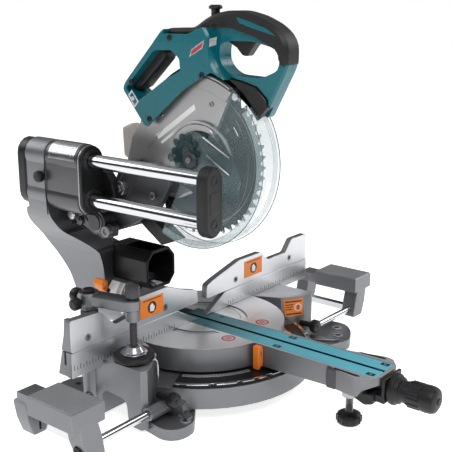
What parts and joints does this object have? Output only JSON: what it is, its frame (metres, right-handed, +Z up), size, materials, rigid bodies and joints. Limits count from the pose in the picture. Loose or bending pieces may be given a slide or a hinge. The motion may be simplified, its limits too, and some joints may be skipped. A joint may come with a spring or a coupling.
{
  "type": "sliding compound miter saw",
  "caption": "Cordless sliding compound miter saw: turntable base with fences, wings and vise, tilting arm, slide rails and a guarded circular blade.",
  "frame": {"origin": "on the floor below the turntable's axis, in the plane of the fence face", "axes": "+Z up; +Y from the operator towards the fence and the tilting arm; +X to the operator's right. The blade lies in the plane x = 0 at rest"},
  "size_m": [0.654, 0.635, 0.518],
  "materials": {
    "grey_casting": "satin cast",
    "dark_casting": "satin cast",
    "fence_aluminium": "machined",
    "stop_plate": "bright",
    "plain_steel": "brushed",
    "black_metal": "satin",
    "bright_steel": "polished",
    "pole_tube": "polished",
    "black_plastic": "satin",
    "teal_plastic": "semi-gloss",
    "light_plastic": "satin",
    "orange_plastic": "satin",
    "grip_rubber": "matt",
    "clear_plastic": "clear"
  },
  "bodies": {
    "base": {"base_casting": "grey_casting", "fence_left": "fence_aluminium", "fence_right": "fence_aluminium", "notch_plate": "stop_plate", "pivot_bolt": "plain_steel", "vise_post": "black_metal"},
    "sub_fence_left_body": {"sub_fence_left": "fence_aluminium"},
    "sub_fence_right_body": {"sub_fence_right": "fence_aluminium"},
    "wing_left_body": {"wing_left": "grey_casting", "wing_rods_left": "bright_steel"},
    "wing_right_body": {"wing_right": "grey_casting", "wing_rods_right": "bright_steel"},
    "wing_knob_left_body": {"wing_knob_left": "black_plastic"},
    "wing_knob_right_body": {"wing_knob_right": "black_plastic"},
    "vise_arm_body": {"vise_arm": "grey_casting"},
    "vise_pad_body": {"vise_pad": "black_plastic"},
    "vise_screw_body": {"vise_screw": "plain_steel"},
    "vise_thumb_body": {"vise_thumb_screw": "black_plastic"},
    "turntable": {"turn_base": "fence_aluminium", "kerf_board_left": "light_plastic", "kerf_board_right": "light_plastic", "miter_pointer": "orange_plastic", "grip_bracket": "black_plastic"},
    "miter_grip_body": {"miter_grip": "grip_rubber"},
    "stop_lever_body": {"stop_lever": "black_plastic"},
    "front_foot_body": {"front_foot": "black_plastic"},
    "tilt": {"tilt_arm": "grey_casting", "arm_rear_cover": "black_plastic", "slide_pole_upper": "pole_tube", "slide_pole_lower": "pole_tube", "pole_end_cap": "black_plastic", "dust_hood": "black_plastic", "bevel_scale": "plain_steel", "bevel_pivot": "plain_steel"},
    "bevel_release_body": {"bevel_release": "orange_plastic"},
    "slide_lock_body": {"slide_lock_knob": "black_plastic"},
    "carriage_body": {"carriage": "grey_casting", "bearing_upper": "plain_steel", "bearing_lower": "plain_steel", "carriage_seal": "black_plastic", "head_pivot_pin": "plain_steel"},
    "stopper_pin_body": {"stopper_pin": "plain_steel"},
    "head": {"head_arm": "dark_casting", "blade_case": "grey_casting", "hub_cover": "dark_casting", "case_cover": "teal_plastic", "handle_shell_left": "teal_plastic", "handle_shell_right": "teal_plastic", "handle_grip": "grip_rubber", "carry_pad": "grip_rubber", "lamp_housing": "black_plastic", "dust_nozzle": "grip_rubber", "motor_housing": "teal_plastic"},
    "battery_body": {"battery": "black_plastic"},
    "trigger_body": {"trigger": "black_plastic"},
    "lock_off_body": {"lock_off_button": "black_plastic"},
    "blade_body": {"saw_blade": "plain_steel", "spindle": "plain_steel", "blade_flange": "plain_steel"},
    "guard_body": {"lower_guard": "clear_plastic"}
  },
  "joints": [
    {"name": "miter", "type": "hinge", "parent": "base", "child": "turntable", "pos_m": [0, 0, 0.05], "axis": [0, 0, -1], "range_deg": [-48, 48]},
    {"name": "bevel", "type": "hinge", "parent": "turntable", "child": "tilt", "pos_m": [0, 0.15, 0.085], "axis": [0, -1, 0], "range_deg": [-45, 25]},
    {"name": "head_slide", "type": "slide", "parent": "tilt", "child": "carriage_body", "axis": [0, -1, 0], "range_m": [0, 0.2]},
    {"name": "chop", "type": "hinge", "parent": "carriage_body", "child": "head", "pos_m": [0, 0.148, 0.214], "axis": [1, 0, 0], "range_deg": [0, 46], "stiffness_Nm_per_rad": 8, "springref_deg": -97.4},
    {"name": "blade_spin", "type": "hinge", "parent": "head", "child": "blade_body", "pos_m": [0, 0, 0.316], "axis": [1, 0, 0], "continuous": true},
    {"name": "guard_turn", "type": "hinge", "parent": "head", "child": "guard_body", "pos_m": [0, 0, 0.316], "axis": [1, 0, 0], "range_deg": [-128, 0]},
    {"name": "trigger_pull", "type": "hinge", "parent": "head", "child": "trigger_body", "pos_m": [0, -0.084, 0.478], "axis": [1, 0, 0], "range_deg": [0, 8], "stiffness_Nm_per_rad": 0.5, "springref_deg": -6.88},
    {"name": "lock_off_press", "type": "slide", "parent": "head", "child": "lock_off_body", "axis": [0, 0, -1], "range_m": [0, 0.004], "stiffness_N_per_m": 400, "springref_m": -0.003},
    {"name": "battery_slide", "type": "slide", "parent": "head", "child": "battery_body", "axis": [0, 1, 0], "range_m": [0, 0.06]},
    {"name": "stopper_pull", "type": "slide", "parent": "carriage_body", "child": "stopper_pin_body", "axis": [-1, 0, 0], "range_m": [0, 0.008]},
    {"name": "slide_lock", "type": "hinge", "parent": "tilt", "child": "slide_lock_body", "pos_m": [-0.105, 0.214, 0.28], "axis": [1, 0, 0], "range_deg": [-90, 90]},
    {"name": "bevel_release_turn", "type": "hinge", "parent": "tilt", "child": "bevel_release_body", "pos_m": [-0.048, 0.149, 0.108], "axis": [0, 1, 0], "range_deg": [0, 20]},
    {"name": "miter_lock", "type": "hinge", "parent": "turntable", "child": "miter_grip_body", "pos_m": [0, -0.33, 0.066], "axis": [0, 1, 0], "range_deg": [-180, 180]},
    {"name": "stop_release", "type": "hinge", "parent": "turntable", "child": "stop_lever_body", "pos_m": [0.019, -0.238, 0.047], "axis": [1, 0, 0], "range_deg": [0, 10], "stiffness_Nm_per_rad": 0.3, "springref_deg": -6.88},
    {"name": "foot_turn", "type": "hinge", "parent": "turntable", "child": "front_foot_body", "pos_m": [0, -0.245, 0.01], "axis": [0, 0, 1], "continuous": true},
    {"name": "sub_fence_left_slide", "type": "slide", "parent": "base", "child": "sub_fence_left_body", "axis": [-1, 0, 0], "range_m": [0, 0.1]},
    {"name": "sub_fence_right_slide", "type": "slide", "parent": "base", "child": "sub_fence_right_body", "axis": [1, 0, 0], "range_m": [0, 0.1]},
    {"name": "wing_left_slide", "type": "slide", "parent": "base", "child": "wing_left_body", "axis": [-1, 0, 0], "range_m": [-0.066, 0.024]},
    {"name": "wing_right_slide", "type": "slide", "parent": "base", "child": "wing_right_body", "axis": [1, 0, 0], "range_m": [-0.086, 0.003]},
    {"name": "wing_knob_left_turn", "type": "hinge", "parent": "base", "child": "wing_knob_left_body", "pos_m": [-0.16, -0.08, 0.044], "axis": [0, 1, 0], "range_deg": [-180, 180]},
    {"name": "wing_knob_right_turn", "type": "hinge", "parent": "base", "child": "wing_knob_right_body", "pos_m": [0.16, -0.08, 0.044], "axis": [0, 1, 0], "range_deg": [-180, 180]},
    {"name": "vise_swing", "type": "hinge", "parent": "base", "child": "vise_arm_body", "pos_m": [-0.186, 0.03, 0.155], "axis": [0, 0, -1], "range_deg": [-5, 35]},
    {"name": "vise_pad_travel", "type": "slide", "parent": "vise_arm_body", "child": "vise_pad_body", "axis": [0, 0, 1], "range_m": [-0.00049, 0.00598]},
    {"name": "vise_screw_turn", "type": "hinge", "parent": "vise_pad_body", "child": "vise_screw_body", "pos_m": [-0.168, -0.03, 0.17], "axis": [0, 0, 1], "range_deg": [-60, 720]},
    {"name": "vise_thumb_turn", "type": "hinge", "parent": "vise_arm_body", "child": "vise_thumb_body", "pos_m": [-0.205, 0.03, 0.157], "axis": [1, 0, 0], "range_deg": [-180, 180]}
  ],
  "couplings": [
    {"joint": "guard_turn", "follows": "chop", "ratio": -2.78},
    {"joint": "vise_screw_turn", "follows": "vise_pad_travel", "rad_per_m": 2094.4}
  ]
}
